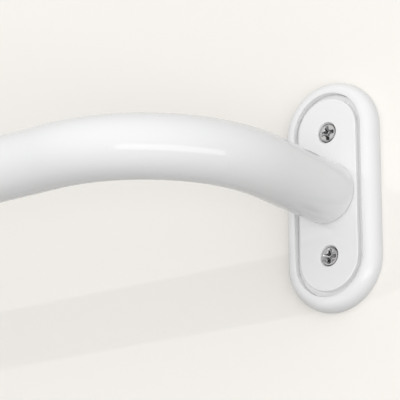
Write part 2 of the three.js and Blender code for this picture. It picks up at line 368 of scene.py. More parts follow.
# %% Edge wear
inputs = {"Place": None, "Reach": 0.3 * MM, "Breakup": 400.0}
edge_wear, given, result = empty_group("edge wear", inputs, ["Mask"])
rounder = wire(edge_wear, "ShaderNodeBevel", {"Radius": given["Reach"]}, samples=6).outputs[0]
true_normal = edge_wear.nodes.new("ShaderNodeNewGeometry").outputs["Normal"]
alike = wire(edge_wear, "ShaderNodeVectorMath", {0: rounder, 1: true_normal}, operation="DOT_PRODUCT")
edge = ramp(edge_wear, alike.outputs["Value"], 0.995, 0.86)
patches = ramp(edge_wear, noise(edge_wear, given["Place"], given["Breakup"], 4.0), 0.42, 0.62)
worn = times(edge_wear, edge, patches)
edge_wear.links.new(worn, result.inputs["Mask"])
print("edge wear has", len(edge_wear.nodes), "nodes")

# %% [markdown]
# ## Shared effect: sprayed or moulded skin
#
# Sprayed enamel is never optically flat: it dries with a faint ripple, called orange peel. Moulded
# plastic has a finer grain from its steel mould. Both are a small height from one noise and a
# slower one under it. The same group gives a slow mask for patches that are duller or brighter.

# %% Fine skin
inputs = {"Place": None, "Grain": 500.0, "Patches": 20.0}
fine_skin, given, result = empty_group("fine skin", inputs, ["Height", "Patch"])
ripple = noise(fine_skin, given["Place"], given["Grain"], 1.5)
slower = noise(fine_skin, given["Place"], times(fine_skin, given["Grain"], 0.27), 1.0)
height = maths(fine_skin, "ADD", ripple, times(fine_skin, slower, 0.8))
fine_skin.links.new(height, result.inputs["Height"])
patch = ramp(fine_skin, noise(fine_skin, given["Place"], given["Patches"], 2.0), 0.2, 0.8)
fine_skin.links.new(patch, result.inputs["Patch"])
print("fine skin gives", [socket.name for socket in result.inputs if socket.name])

# %% [markdown]
# ## Shared effect: settled dust
#
# Dust lies on what faces up. The mask is how much a surface faces up, broken up by noise, and it is
# kept faint: a rod at a window is handled and wiped.

# %% Settled dust
inputs = {"Place": None, "Amount": 0.2}
settled_dust, given, result = empty_group("settled dust", inputs, ["Mask"])
facing = settled_dust.nodes.new("ShaderNodeNewGeometry").outputs["Normal"]
upward = wire(settled_dust, "ShaderNodeSeparateXYZ", {0: facing}).outputs["Z"]
lying = ramp(settled_dust, upward, 0.55, 1.0)
clumps = ramp(settled_dust, noise(settled_dust, given["Place"], 900.0, 6.0), 0.4, 0.75)
dusty = times(settled_dust, times(settled_dust, lying, clumps), given["Amount"])
settled_dust.links.new(dusty, result.inputs["Mask"])
print("dust lies where a surface faces up")

# %% [markdown]
# ## Shared effect: turning marks
#
# Posts and screws are cut on a lathe, which leaves fine rings round the axis. Every piece carries a
# "drawn" attribute: where each of its points was in its own drawing, in metres, with Z as the axis.
# The rings are a noise that changes with the distance from the axis and along it, never round it.

# %% Turning marks
inputs = {"Drawn": None, "Rings": 6000.0}
turning_marks, given, result = empty_group("turning marks", inputs, ["Height", "Tone"])
along = wire(turning_marks, "ShaderNodeSeparateXYZ", {0: given["Drawn"]}).outputs["Z"]
feeds = {0: given["Drawn"], 1: (1.0, 1.0, 0.0)}
level = wire(turning_marks, "ShaderNodeVectorMath", feeds, operation="MULTIPLY").outputs[0]
across = wire(turning_marks, "ShaderNodeVectorMath", {0: level}, operation="LENGTH").outputs["Value"]
track = maths(turning_marks, "ADD", across, times(turning_marks, along, 1.37))
feeds = {"W": track, "Scale": given["Rings"], "Detail": 3.0}
rings = wire(turning_marks, "ShaderNodeTexNoise", feeds, noise_dimensions="1D").outputs[0]
turning_marks.links.new(rings, result.inputs["Height"])
turning_marks.links.new(ramp(turning_marks, rings, 0.3, 0.7), result.inputs["Tone"])
print("turning marks give a height and a tone")

# %% [markdown]
# ## Shared effect: handling
#
# Fingers leave slightly duller patches on gloss, and a cloth leaves hair-thin straight marks. One
# stretched noise gives the marks and a slow one says where they are.

# %% Handling marks
inputs = {"Place": None, "Stretch": (60.0, 900.0, 900.0)}
handling, given, result = empty_group("handling", inputs, ["Mask"])
feeds = {0: given["Place"], 1: given["Stretch"]}
stretched = wire(handling, "ShaderNodeVectorMath", feeds, operation="MULTIPLY").outputs[0]
marks = ramp(handling, noise(handling, stretched, 1.0, 3.0), 0.56, 0.72)
where = ramp(handling, noise(handling, given["Place"], 14.0, 2.0), 0.45, 0.6)
handling.links.new(times(handling, marks, where), result.inputs["Mask"])
print("handling marks give a mask")

# %% [markdown]
# ## Finish: white enamel
#
# The tubes and plates are sprayed white and baked. The white is nearly neutral, and the tubes are
# a little glossier than the plates. Under the gloss there is almost no texture, so the ripple is a few
# micrometres, the patches mostly change how sharp the reflections are, and edge wear shows as
# thinner, greyer paint.

# %% A helper for mixing colours
def mixed(tree, mask, one, other):
    """The colour one where mask is 0 and other where it is 1."""
    feeds = {0: mask, 6: one, 7: other}
    return wire(tree, "ShaderNodeMix", feeds, data_type="RGBA").outputs[2]


def shade_of(red, green, blue):
    return (red, green, blue, 1.0)


def grey(level):
    return shade_of(level, level, level)


def scaled(colour, by):
    return shade_of(*(min(1.0, c * by) for c in colour[:3]))


def new_finish(name):
    """A material with its Principled BSDF, and the place of each point in the scene."""
    finish = bpy.data.materials.new(name)
    finish.use_nodes = True
    tree = finish.node_tree
    shader = tree.nodes["Principled BSDF"]
    place = tree.nodes.new("ShaderNodeTexCoord").outputs["Object"]
    return finish, tree, shader, place


def bump(tree, shader, height, depth, strength=1.0):
    made = wire(tree, "ShaderNodeBump", {"Height": height, "Distance": depth, "Strength": strength})
    tree.links.new(made.outputs[0], shader.inputs["Normal"])


print("a grey made half as bright:", scaled(grey(0.5), 0.5))

# %% The enamel
def enamel(name, colour, thin_colour, roughness, grain, peel):
    finish, tree, shader, place = new_finish(name)
    surface = use(tree, fine_skin, place=place, grain=grain, patches=18.0)
    wear = use(tree, edge_wear, place=place, reach=0.25 * MM, breakup=700.0)
    dust = use(tree, settled_dust, place=place, amount=0.05)
    hands = use(tree, handling, place=place)
    paint = mixed(tree, times(tree, wear["Mask"], 0.25), colour, thin_colour)
    tone = times(tree, surface["Patch"], 0.2)
    paint = mixed(tree, tone, paint, scaled(colour, 0.975))
    dust_colour = shade_of(0.62, 0.6, 0.57)
    tree.links.new(mixed(tree, dust["Mask"], paint, dust_colour), shader.inputs["Base Color"])
    gloss = ramp(tree, surface["Patch"], 0.0, 1.0, roughness, roughness * 1.25)
    gloss = maths(tree, "ADD", gloss, times(tree, hands["Mask"], 0.03))
    gloss = maths(tree, "ADD", gloss, times(tree, dust["Mask"], 0.8), clamp=True)
    tree.links.new(gloss, shader.inputs["Roughness"])
    shader.inputs["IOR"].default_value = 1.52
    bump(tree, shader, surface["Height"], peel)
    return finish


ROD_WHITE = shade_of(0.84, 0.842, 0.846)
PLATE_WHITE = shade_of(0.86, 0.861, 0.862)
THIN_PAINT = shade_of(0.6, 0.61, 0.62)
rod_enamel = enamel("rod enamel", ROD_WHITE, THIN_PAINT, 0.075, 420.0, 0.003 * MM)
bracket_enamel = enamel("bracket enamel", PLATE_WHITE, THIN_PAINT, 0.12, 520.0, 0.005 * MM)
print("enamels made:", rod_enamel.name, "and", bracket_enamel.name)

# %% [markdown]
# ## Finish: bare and plated steel
#
# The wall screws are nickel plated and bright, the posts are turned and zinc plated, and the
# locking screws are blackened. All three are one recipe with its own colour, gloss and rings. The
# dark in a driver's recess is painted shade: the Ambient Occlusion node tells how closed in a spot
# is, and the plating's colour is painted darker by that, nearly to black.

# %% The metals
RECESS_REACH = 1.8 * MM


def metal(name, colour, dark, roughness, ring_scale, ring_depth):
    finish, tree, shader, place = new_finish(name)
    drawn = wire(tree, "ShaderNodeAttribute", {}, attribute_name="drawn").outputs["Vector"]
    cut = use(tree, turning_marks, drawn=drawn, rings=ring_scale)
    surface = use(tree, fine_skin, place=place, grain=2500.0, patches=160.0)
    wear = use(tree, edge_wear, place=place, reach=0.15 * MM, breakup=1500.0)
    tarnish = times(tree, surface["Patch"], 0.35)
    plating = mixed(tree, tarnish, colour, dark)
    plating = mixed(tree, wear["Mask"], plating, scaled(colour, 1.12))
    # Painted shade: where the Ambient Occlusion node finds a spot closed in, as in a driver's recess, the
    # base colour goes nearly black.
    feeds = {"Distance": RECESS_REACH}
    open_air = wire(tree, "ShaderNodeAmbientOcclusion", feeds, samples=6).outputs["AO"]
    painted_recess_shade = ramp(tree, open_air, 0.88, 0.5)
    tree.links.new(mixed(tree, painted_recess_shade, plating, scaled(dark, 0.04)), shader.inputs["Base Color"])
    gloss = ramp(tree, cut["Tone"], 0.0, 1.0, roughness * 0.8, roughness * 1.3)
    gloss = maths(tree, "ADD", gloss, times(tree, surface["Patch"], 0.06), clamp=True)
    tree.links.new(gloss, shader.inputs["Roughness"])
    shader.inputs["Metallic"].default_value = 1.0
    grain = maths(tree, "ADD", cut["Height"], times(tree, surface["Height"], 0.25))
    bump(tree, shader, grain, ring_depth)
    return finish


NICKEL, DULL_NICKEL = shade_of(0.68, 0.68, 0.69), shade_of(0.36, 0.36, 0.38)
ZINC, DULL_ZINC = shade_of(0.62, 0.63, 0.65), shade_of(0.42, 0.43, 0.45)
screw_plating = metal("bright nickel plate", NICKEL, DULL_NICKEL, 0.12, 5000.0, 0.006 * MM)
post_steel = metal("turned zinc-plated steel", ZINC, DULL_ZINC, 0.3, 3500.0, 0.015 * MM)
BLACK = shade_of(0.06, 0.06, 0.065)
black_steel = metal("blackened steel", BLACK, grey(0.03), 0.36, 4500.0, 0.008 * MM)
print("metals made:", screw_plating.name, post_steel.name, black_steel.name, sep=" / ")

# %% [markdown]
# ## Finish: moulded plastic
#
# The collar is white and fairly glossy. The anchors and the hidden guide are nylon, which is
# softer to look at: light goes a little way in, which the subsurface setting gives.

# %% The plastics
def moulded(name, colour, shadow, roughness, grain, depth, soft):
    finish, tree, shader, place = new_finish(name)
    surface = use(tree, fine_skin, place=place, grain=grain, patches=60.0)
    wear = use(tree, edge_wear, place=place, reach=0.3 * MM, breakup=900.0)
    dust = use(tree, settled_dust, place=place, amount=0.18)
    tint = mixed(tree, times(tree, surface["Patch"], 0.4), colour, shadow)
    tint = mixed(tree, times(tree, wear["Mask"], 0.5), tint, scaled(colour, 1.08))
    dust_colour = shade_of(0.6, 0.58, 0.55)
    tree.links.new(mixed(tree, dust["Mask"], tint, dust_colour), shader.inputs["Base Color"])
    gloss = ramp(tree, surface["Patch"], 0.0, 1.0, roughness, roughness * 1.2)
    tree.links.new(gloss, shader.inputs["Roughness"])
    shader.inputs["Subsurface Weight"].default_value = soft
    shader.inputs["Subsurface Radius"].default_value = (1.0, 0.9, 0.8)
    shader.inputs["Subsurface Scale"].default_value = 0.6 * MM
    bump(tree, shader, surface["Height"], depth)
    return finish


WHITE_PLASTIC = (shade_of(0.8, 0.8, 0.79), shade_of(0.76, 0.76, 0.74))
GREY_NYLON = (shade_of(0.42, 0.43, 0.45), shade_of(0.36, 0.37, 0.39))
BARE_NYLON = (shade_of(0.7, 0.69, 0.65), shade_of(0.64, 0.63, 0.58))
collar_plastic = moulded("white moulded plastic", *WHITE_PLASTIC, 0.3, 1800.0, 0.01 * MM, 0.08)
anchor_nylon = moulded("grey nylon", *GREY_NYLON, 0.48, 2400.0, 0.02 * MM, 0.1)
guide_nylon = moulded("natural nylon", *BARE_NYLON, 0.45, 2400.0, 0.02 * MM, 0.15)
print("plastics made:", collar_plastic.name, anchor_nylon.name, guide_nylon.name, sep=" / ")

# %% [markdown]
# ## Finishing a piece
#
# Every piece ends the same way. Its drawing is kept in the "drawn" attribute, the mesh is moved to
# its place, and then the piece is tied to the moving body it belongs to, the part it stands for is
# hidden, and the piece gets its finish. The object itself stays at the origin: its place is in its mesh.

# %% Finish a piece
BODY_OF = {node: body for body, nodes in frame["record"]["behaviour"]["bodies"].items() for node in nodes}


def hand_over(piece, node, finish):
    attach(piece, BODY_OF[node])
    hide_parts(node)
    piece.data.materials.clear()
    piece.data.materials.append(finish)


def deliver(piece, node, finish, placement):
    drawn = piece.data.attributes.new("drawn", "FLOAT_VECTOR", "POINT")
    for vertex, kept in zip(piece.data.vertices, drawn.data):
        kept.vector = vertex.co
    piece.data.transform(placement)
    hand_over(piece, node, finish)


print("bodies:", sorted(set(BODY_OF.values())))

# %% [markdown]
# ## The backplate
#
# This is the part that lies on the wall: a cast plate with straight sides and half-round ends, a
# full rounded rim and a pocket inside it for the bracket plate. All of its edges are offsets of one
# outline, so the plate is a stack of that outline, each at its own inset and height. The holes in
# the pocket's floor are wide enough for the anchors' flanges, which lie on the wall.

# %% The plate's outline
ARC_STEPS = 48
SIDE_STEPS = 14


def stadium(inset, height):
    """The plate's outline, drawn in from its outer edge by inset."""
    radius = PLATE_WIDTH / 2 - inset
    straight = (PLATE_HEIGHT - PLATE_WIDTH) / 2
    ring = []
    for end in (1, -1):
        for step in range(ARC_STEPS + 1):
            angle = math.pi * step / ARC_STEPS + (0 if end > 0 else math.pi)
            up = end * straight + radius * math.sin(angle)
            ring.append(Vector((radius * math.cos(angle), up, height)))
        for step in range(1, SIDE_STEPS):
            along = straight * (1 - 2 * step / SIDE_STEPS)
            ring.append(Vector((-end * radius, end * along, height)))
    return ring


print("each outline has", len(stadium(0, 0)), "points")

# %% The rim's profile
RIM_ROUND = Vector((4.4, 5.5)) * MM
RIM_STEPS = 16
POCKET_FLOOR = FACE_BACK - GAP
POCKET_MIDDLE = 9 * MM


def rim_profile():
    """From the middle of the back, round the outer edge, over the rim and down into the pocket."""
    points = rounded([(POCKET_MIDDLE, 0, 0), (0, 0, 0.35 * MM), (0, RIM_TOP - RIM_ROUND.y, 0)])
    for step in range(1, RIM_STEPS + 1):
        angle = math.pi / 2 * step / RIM_STEPS
        inset = RIM_ROUND.x * (1 - math.cos(angle))
        points.append(Vector((inset, RIM_TOP - RIM_ROUND.y * (1 - math.sin(angle)))))
    inner = [
        (RIM_ROUND.x, RIM_TOP, 0),
        (RIM_WIDTH, RIM_TOP, 0.4 * MM),
        (RIM_WIDTH, POCKET_FLOOR, 0.3 * MM),
        (POCKET_MIDDLE, POCKET_FLOOR, 0),
    ]
    return points + rounded(inner, 6)[1:]


print("the rim's profile has", len(rim_profile()), "points")

# %% Make a backplate
def drill(radius, low, high, sides=48):
    return turned("drill", [(radius, low), (radius, high)], sides)


def backplate(side):
    piece = skin(f"{side}_escutcheon", [stadium(inset, height) for inset, height in rim_profile()])
    drills = []
    for place in PLACES:
        low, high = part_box(f"{side}_wall_anchor_{place}")
        hole = drill((high.z - low.z) / 2 + GAP, -1 * MM, POCKET_FLOOR + 1 * MM)
        hole.data.transform(Matrix.Translation((0, (low.z + high.z) / 2, 0)))
        drills.append(hole)
    carve(piece, drills)
    shade(piece)
    node = f"{side}_backplate"
    deliver(piece, node, bracket_enamel, at_box_of(node))
    return piece


for side in SIDES:
    made = backplate(side)
    print(made.name, "has", len(made.data.polygons), "faces")

# %% [markdown]
# ## The raised face
#
# The bracket plate sits in the pocket and carries the post. It has a low ledge all round a raised
# face, and the ledge is the floor of the groove that shows inside the rim. It reaches almost to the
# rim, so that the groove has no black gap in it. The plate's two screw holes are countersunk, and
# the enamel has rounded their lips.

# %% Make the face
def countersink(head_radius, neck_radius, low, cone_foot, cone_top, top):
    lip = 0.35 * MM
    profile = [
        (neck_radius, low),
        (neck_radius, cone_foot),
        (head_radius, cone_top),
        (head_radius, top - lip),
        (head_radius + 0.03 * MM, top - 0.6 * lip),
        (head_radius + 0.12 * MM, top - 0.25 * lip),
        (head_radius + lip, top + 0.02 * MM),
        (head_radius + lip, top + 1 * MM),
    ]
    return turned("countersink", profile, 72)


GROOVE_FLOOR = 3.9 * MM
LEDGE_REACH = RIM_WIDTH + 0.06 * MM
FACE_INSET = RIM_WIDTH + 2.3 * MM
FACE_MIDDLE = 11 * MM
POST_BORE = 2.8 * MM


def bracket_face(side):
    corners = [
        (FACE_MIDDLE, FACE_BACK, 0),
        (LEDGE_REACH, FACE_BACK, 0.25 * MM),
        (LEDGE_REACH, GROOVE_FLOOR, 0.1 * MM),
        (FACE_INSET, GROOVE_FLOOR, 0.5 * MM),
        (FACE_INSET, FACE_TOP, 0.45 * MM),
        (FACE_MIDDLE, FACE_TOP, 0),
    ]
    piece = skin(f"{side}_face", [stadium(inset, height) for inset, height in rounded(corners, 6)])
    tools = [drill(POST_BORE, 0, 20 * MM)]
    for place in PLACES:
        low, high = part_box(f"{side}_wall_screw_{place}")
        head = (high.x - low.x) / 2
        top = -low.y
        sink = countersink(head + 0.4 * MM, 2.4 * MM, 0, top - 2.6 * MM, top - 0.3 * MM, FACE_TOP)
        sink.data.transform(Matrix.Translation((0, (low.z + high.z) / 2, 0)))
        tools.append(sink)
    carve(piece, tools)
    shade(piece, 50)
    node = f"{side}_bracket_plate"
    deliver(piece, node, bracket_enamel, at_box_of(node))
    return piece


for side in SIDES:
    made = bracket_face(side)
    print(made.name, "has", len(made.data.polygons), "faces")

# %% [markdown]
# ## Screws
#
# A screw is a turned head on a shank with a thread. The thread could be a separate spiral laid
# round the shank, but it would only pass through it. Here it is part of the skin: each ring's radius
# swells where the spiral passes, and the spiral moves on a little from ring to ring.

# %% A threaded skin
def thread_rings(core, crest, low, high, pitch, sides=40, rows_per_turn=12, run_out=0.0):
    """Rings from low to high. core and crest give the two radii at a height."""
    rows = max(2, round((high - low) / pitch * rows_per_turn))
    rings = []
    for row in range(rows + 1):
        height = low + (high - low) * row / rows
        ring = []
        for i in range(sides):
            angle = 2 * math.pi * i / sides
            phase = (height / pitch - i / sides) % 1.0
            ridge = max(0.0, 1 - abs(phase - 0.5) / 0.3)
            fade = 1.0 if run_out <= 0 else min(1.0, max(0.0, (high - height) / run_out))
            radius = core(height) + (crest(height) - core(height)) * ridge * fade
            ring.append(spot(radius, angle, height))
        rings.append(ring)
    return rings


print("one turn of thread takes", len(thread_rings(abs, abs, 0, 1, 1)) - 1, "rows")

# %% [markdown]
# The driver's recess is a cross with tapered arms and a wider core. Its cutter is a stack of cross
# outlines, and the top one flares out a little, which leaves the rounded lip that a punched recess
# has.

# %% The driver's recess
def cross_outline(span, half_width, core, height):
    ring = []
    for arm in range(4):
        turn = Matrix.Rotation(arm * math.pi / 2, 3, "Z")
        corners = [
            (core, -half_width),
            (span - 0.5 * half_width, -half_width),
            (span, -0.55 * half_width),
            (span, 0.55 * half_width),
            (span - 0.5 * half_width, half_width),
            (core, half_width),
        ]
        ring += [turn @ Vector((x, y, height)) for x, y in corners]
    return ring


def cross_cutter(span, top, depth):
    width, core = 0.27 * span, 0.46 * span
    flare = 0.2 * MM
    layers = [
        (0.34 * span, 0.5 * width, 0.3 * span, top - depth),
        (0.5 * span, 0.72 * width, 0.42 * span, top - 0.86 * depth),
        (span, width, core, top - 0.2 * MM),
        (span + 0.2 * flare, width + 0.2 * flare, core + 0.2 * flare, top - 0.08 * MM),
        (span + flare, width + flare, core + flare, top + 0.01 * MM),
        (span + flare, width + flare, core + flare, top + 1 * MM),
    ]
    return skin("cross", [cross_outline(*layer) for layer in layers])


def hex_cutter(across_flats, top, depth):
    radius = across_flats / math.sqrt(3)
    flare = 0.15 * MM
    profile = [
        (0.15 * radius, top - depth - 0.4 * radius),
        (radius, top - depth),
        (radius, top - flare),
        (radius + 1.2 * flare, top + 0.01 * MM),
        (radius + 1.2 * flare, top + 1 * MM),
    ]
    return turned("hexagon", profile, 6)


print("a cross has", len(cross_outline(1, 0.3, 0.4, 0)), "corners")

# %% Make a countersunk screw
HEAD_EDGE = 0.5 * MM


def countersunk_screw(name, head_radius, shank_radius, tip, top, pitch, point, turn=0.0):
    """tip and top are heights, and point is the length of the sharp end, or 0 for a flat one."""
    cone_foot = top - HEAD_EDGE - (head_radius - shank_radius)

    def crest(height):
        into_point = min(1.0, max(0.03, (height - tip) / point)) if point else 1.0
        return shank_radius * into_point

    def core(height):
        return crest(height) * 0.7

    plain = 3.5 * MM if point else 0.8 * MM
    shank = thread_rings(core, crest, tip, cone_foot - plain, pitch, run_out=1.2 * pitch)
    corners = [
        (shank_radius * 0.7, cone_foot - plain, 0),
        (shank_radius * 0.92, cone_foot - plain + 0.5 * MM, 0.3 * MM),
        (shank_radius * 0.92, cone_foot, 0.5 * MM),
        (head_radius, top - HEAD_EDGE, 0.1 * MM),
        (head_radius * 0.97, top - 0.25 * MM, 0.2 * MM),
        (head_radius * 0.8, top, 0.5 * MM),
        (head_radius * 0.5, top, 0),
    ]
    head = rounded(corners)
    piece = skin(name, shank + [circle(radius, height, 40) for radius, height in head[1:]])
    cutter = cross_cutter(0.78 * head_radius, top, 2.4 * MM if point else 1.5 * MM)
    cutter.data.transform(Matrix.Rotation(turn, 4, "Z"))
    carve(piece, [cutter])
    shade(piece, 45)
    return piece


print("the edge of a head is", HEAD_EDGE / MM, "mm thick")

# %% The wall screws
# Each screw stopped at its own angle when it was tight.
STOPPED_AT = {"upper": math.radians(5), "lower": math.radians(-7)}
LEFT_TURN = {"right": 0.0, "left": 1.1}

for side in SIDES:
    for place, turn in STOPPED_AT.items():
        node = f"{side}_wall_screw_{place}"
        low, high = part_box(node)
        head_radius, turn = (high.x - low.x) / 2, turn + LEFT_TURN[side]
        sizes = (head_radius, 2.1 * MM, -high.y, -low.y, 2.6 * MM, 7 * MM, turn)
        made = countersunk_screw(f"{side}_wood_screw_{place}", *sizes)
        deliver(made, node, screw_plating, at_box_of(node))
        print(made.name, "is", round((high.y - low.y) / MM, 1), "mm long")

# %% [markdown]
# The screw that holds the post goes in from behind, so its head points the other way. It is drawn
# like the others and turned over, and its end is flat, because it goes into tapped steel.

# %% The posts' screws
for side in SIDES:
    node = f"{side}_post_screw"
    low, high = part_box(node)
    radius = (high.x - low.x) / 2
    length = high.y - low.y
    made = countersunk_screw(f"{side}_post_bolt", radius, 2.5 * MM, -length, 0.0, 0.8 * MM, 0.0)
    turn_over = Matrix.Rotation(math.pi, 4, "X")
    place = Matrix.Translation(((low.x + high.x) / 2, high.y, 0)) @ STAND_UP @ turn_over
    deliver(made, node, screw_plating, place)
    print(made.name, "is", round(length / MM, 1), "mm long")

# %% [markdown]
# The locking screw has no head. It is threaded from end to end, and a key turns it by the hexagon
# in its top.

# %% The locking screws
def grub_screw(name, radius, low, high, pitch):
    def crest(height):
        into_end = min(height - low, high - height) / (0.5 * MM)
        return radius * (0.84 + 0.16 * min(1.0, max(0.0, into_end)))

    def core(height):
        return radius * 0.84

    rings = thread_rings(core, crest, low, high, pitch, sides=36)
    piece = skin(name, rings)
    carve(piece, [hex_cutter(2.5 * MM, high, 2.6 * MM)])
    shade(piece, 45)
    return piece


for side in SIDES:
    node = f"{side}_set_screw"
    low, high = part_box(node)
    made = grub_screw(f"{side}_grub_screw", (high.x - low.x) / 2, low.z, high.z, 0.8 * MM)
    place = Matrix.Translation(((low.x + high.x) / 2, (low.y + high.y) / 2, 0))
    deliver(made, node, black_steel, place)
    print(made.name, "reaches up to", round(high.z / MM, 2), "mm")

# %% [markdown]
# ## The posts
#
# Each post is a short turned bar with a chamfer, so that the tube finds its way over it. The tapped
# hole for the locking screw goes in from the top, and the hole for the screw from behind.

# %% Make a post
def rod_post(side):
    node = f"{side}_rod_post"
    low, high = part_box(node)
    radius, foot, end = (high.x - low.x) / 2, -high.y, -low.y
    lock_low, lock_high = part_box(f"{side}_set_screw")
    corners = [
        (1 * MM, foot, 0),
        (radius, foot, 0.3 * MM),
        (radius, end - 1.5 * MM, 0.4 * MM),
        (radius - 1.5 * MM, end, 0.4 * MM),
        (1 * MM, end, 0),
    ]
    piece = turned(f"{side}_post", rounded(corners, 5), 96)
    bore = drill(POST_BORE, foot - 1 * MM, foot + 11 * MM)
    lock = drill(POST_BORE, lock_low.z - 1.9 * MM, radius + 1 * MM)
    along = -(lock_low.y + lock_high.y) / 2
    lock.data.transform(Matrix.Translation((0, 0, along)) @ Matrix.Rotation(-math.pi / 2, 4, "X"))
    carve(piece, [bore, lock])
    shade(piece, 30)
    deliver(piece, node, post_steel, at_box_of(node))
    return piece


for side in SIDES:
    made = rod_post(side)
    print(made.name, "has", len(made.data.polygons), "faces")

# %% [markdown]
# ## The wall anchors
#
# A plastic anchor is a split cone with barbs. Its two fins stop it turning while the screw pulls
# its halves apart, and its flange stops it being pushed in too far. The barbs are steps in the
# turned profile. The slot and the bore are cut out afterwards.

# %% Make an anchor
BARBS = 8


def wall_anchor(side, place):
    node = f"{side}_wall_anchor_{place}"
    low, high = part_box(node)
    flange = (high.z - low.z) / 2
    top, tip = -low.y, -high.y
    corners = [(2.5 * MM, tip, 0), (2.95 * MM, tip + 0.6 * MM, 0.2 * MM)]
    for barb in range(BARBS):
        foot = tip + (1.2 + 3.1 * barb) * MM
        grown = 0.35 * barb / BARBS * MM
        corners += [
            (3.0 * MM + grown, foot, 0.1 * MM),
            (3.45 * MM + grown, foot + 2.3 * MM, 0.12 * MM),
            (3.05 * MM + grown, foot + 2.5 * MM, 0.1 * MM),
        ]
    corners += [
        (3.5 * MM, top - 3.2 * MM, 0.3 * MM),
        (3.7 * MM, top - 1.1 * MM, 0.2 * MM),
        (flange, top - 0.9 * MM, 0.25 * MM),
        (flange, top, 0.2 * MM),
        (3 * MM, top, 0),
    ]
    piece = turned(f"{side}_plug_{place}", rounded(corners, 3), 48)
    fin_top, fin_foot = top - 4 * MM, top - 22.5 * MM
    fin = [(-4.6 * MM, fin_top), (4.6 * MM, fin_top), (3.6 * MM, fin_foot), (-3.6 * MM, fin_foot)]
    carve(piece, [bar("fins", fin, 0.5 * MM)], "UNION")
    split = [(-0.5 * MM, tip - 1 * MM), (0.5 * MM, tip - 1 * MM), (0.5 * MM, tip + 18 * MM)]
    split += [(0.0, tip + 18.5 * MM), (-0.5 * MM, tip + 18 * MM)]
    slot = bar("slot", split, 8 * MM)
    carve(piece, [drill(2.4 * MM, tip - 1 * MM, top + 1 * MM), slot])
    shade(piece, 35)
    deliver(piece, node, anchor_nylon, at_box_of(node))
    return piece


for side in SIDES:
    for place in PLACES:
        made = wall_anchor(side, place)
        print(made.name, "has", len(made.data.polygons), "faces")

# %% [markdown]
# ## The bent tubes
#
# Each tube is one ring swept along a line: a leg square to the wall, a quarter circle, and a run
# along the rod. A curve with a bevel could make the outside, but a real tube has a wall with an
# edge to it. So the rings go out along the outside, round the cut edge, and back along the inside.

# %% The line of a tube
LEG_STEPS, BEND_STEPS, RUN_STEPS = 6, 56, 24


def tube_line(bracket_x, side, run_end):
    """Points and directions from the wall end to the run's end. side is 1 for the right tube."""
    start = RUN_DEPTH - BEND_RADIUS
    line = [(Vector((bracket_x, -LEG_START, 0)), Vector((0, -1, 0)))]
    for step in range(1, LEG_STEPS):
        out = LEG_START + (start - LEG_START) * step / LEG_STEPS
        line.append((Vector((bracket_x, -out, 0)), Vector((0, -1, 0))))
    for step in range(BEND_STEPS + 1):
        angle = math.pi / 2 * step / BEND_STEPS
        across = BEND_RADIUS * (1 - math.cos(angle))
        out = start + BEND_RADIUS * math.sin(angle)
        point = Vector((bracket_x - side * across, -out, 0))
        line.append((point, Vector((-side * math.sin(angle), -math.cos(angle), 0))))
    bend_end = bracket_x - side * BEND_RADIUS
    for step in range(1, RUN_STEPS + 1):
        x = bend_end + (run_end - bend_end) * step / RUN_STEPS
        line.append((Vector((x, -RUN_DEPTH, 0)), Vector((-side, 0, 0))))
    return line


def tube_ring(point, direction, radius, sides=96):
    up = Vector((0, 0, 1))
    sideways = up.cross(direction)
    angles = [2 * math.pi * i / sides for i in range(sides)]
    return [point + radius * (math.cos(a) * sideways + math.sin(a) * up) for a in angles]


print("the right tube's line has", len(tube_line(RIGHT_X, 1, outer_low.x)), "points")

# %% [markdown]
# The small hole in the top of the leg lets the key reach the locking screw. Cutting it disturbs the
# smooth shading round it, so the tube's normals are then set from its shape: on a tube, the normal
# points straight away from the middle line.

# %% Make a bent tube
def middle_of(line, place):
    """The nearest point on the tube's middle line, and how far along the line it is."""
    best, walked = None, 0.0
    for (a, _), (b, _) in zip(line, line[1:]):
        step = b - a
        t = min(1.0, max(0.0, (place - a).dot(step) / step.length_squared))
        near = a + step * t
        gap = (place - near).length
        if best is None or gap < best[0]:
            best = (gap, near, walked + step.length * t)
        walked += step.length
    return best[1], best[2]


lock_low, lock_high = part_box("right_set_screw")
KEY_Y = (lock_low.y + lock_high.y) / 2
KEY_RADIUS = 1.7 * MM


def bent_tube(name, node, line, radius, bracket_x):
    bore = radius - TUBE_WALL
    middle, half = radius - TUBE_WALL / 2, TUBE_WALL / 2
    rings = [tube_ring(point, direction, radius) for point, direction in line[1:-1]]
    lip = [math.pi * step / 6 for step in range(7)]
    end, way = line[-1]
    rings += [
        tube_ring(end + way * half * (math.sin(a) - 1), way, middle + half * math.cos(a)) for a in lip
    ]
    rings += [tube_ring(point, direction, bore) for point, direction in line[-2:0:-1]]
    start, way = line[0]
    rings += [
        tube_ring(start - way * half * (math.sin(a) - 1), way, middle - half * math.cos(a)) for a in lip
    ]
    piece = skin(name, rings, loop=True)
    key = drill(KEY_RADIUS, 0, radius + 1 * MM, 40)
    key.data.transform(Matrix.Translation((bracket_x, KEY_Y, 0)))
    carve(piece, [key])
    piece.data.shade_smooth()
    round_the_tube(piece, line, radius, bore)
    hand_over(piece, node, rod_enamel)
    return piece


